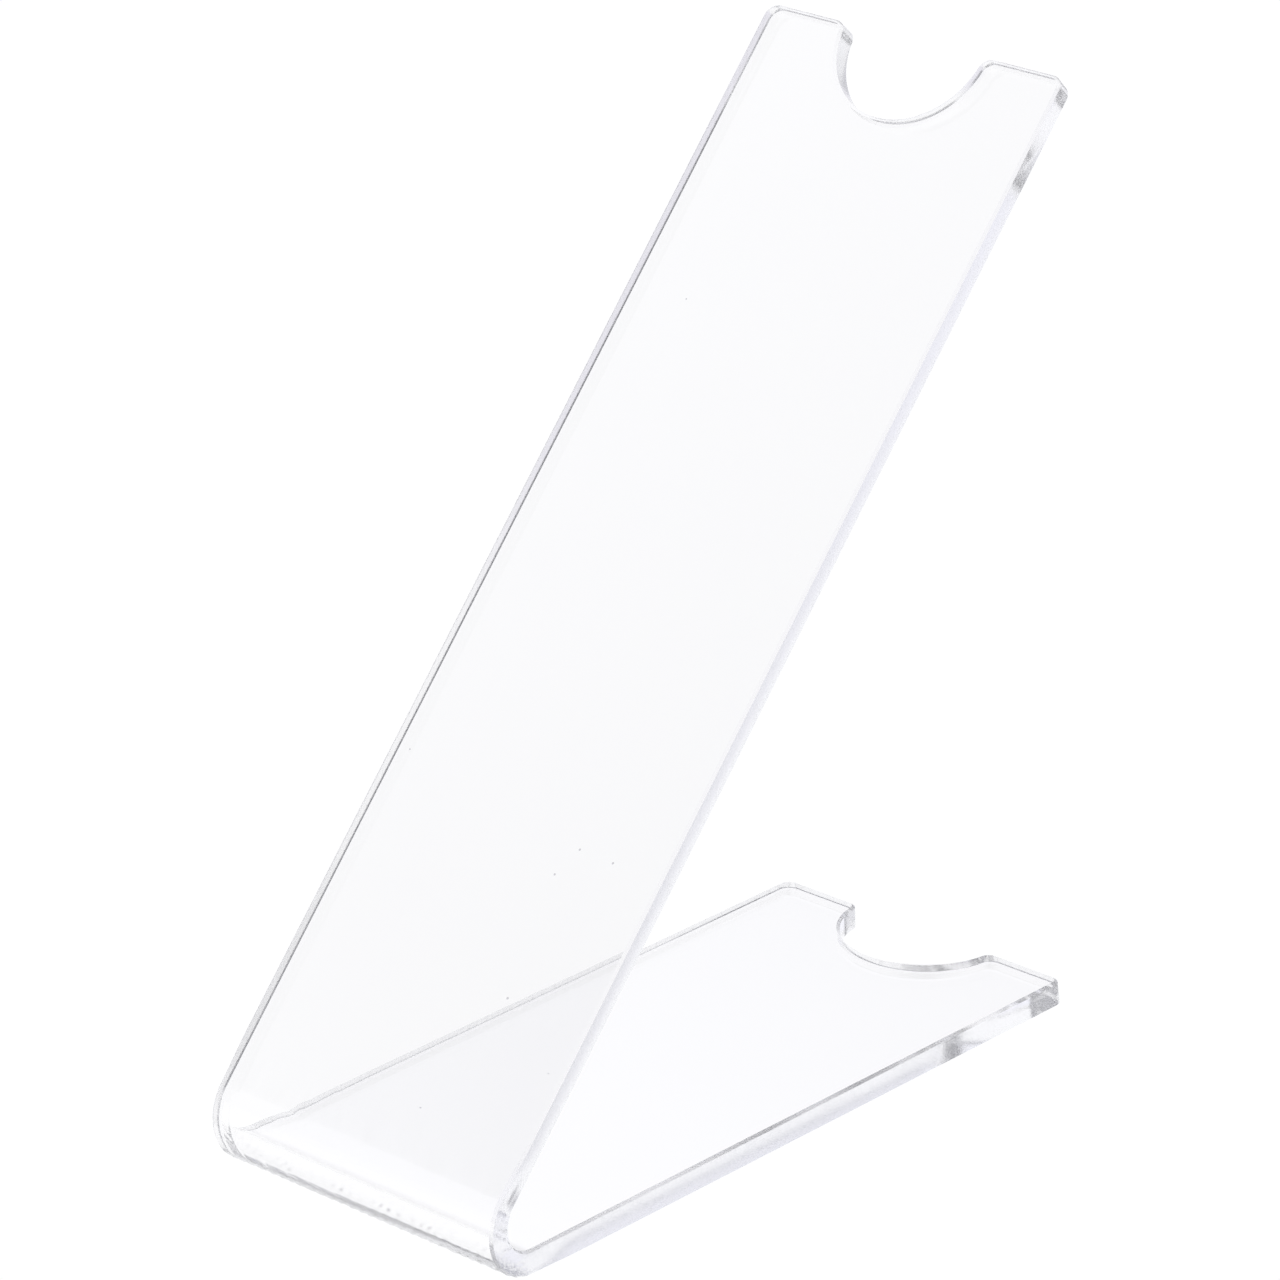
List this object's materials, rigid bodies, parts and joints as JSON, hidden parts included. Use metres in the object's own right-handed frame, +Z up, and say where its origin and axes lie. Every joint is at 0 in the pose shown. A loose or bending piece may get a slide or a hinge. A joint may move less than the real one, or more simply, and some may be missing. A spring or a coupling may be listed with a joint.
{
  "type": "plate display stand",
  "caption": "One-piece clear acrylic display stand: a strip folded once into a short base and a long back-leaning slope, with a half-round notch in the middle of each end",
  "frame": {"origin": "the middle of the bounding box's footprint, on the table", "axes": "+Z is up. +X runs across the strip's width. The display slope faces -Y and leans back towards +Y over the base, and the fold lies along the -Y side."},
  "size_m": [0.045, 0.1024, 0.1197],
  "materials": {
    "clear_acrylic": "water-clear acrylic sheet, glossy faces, polished cut edges"
  },
  "bodies": {
    "root": {"bent_acrylic_strip": "clear_acrylic"}
  },
  "joints": []
}
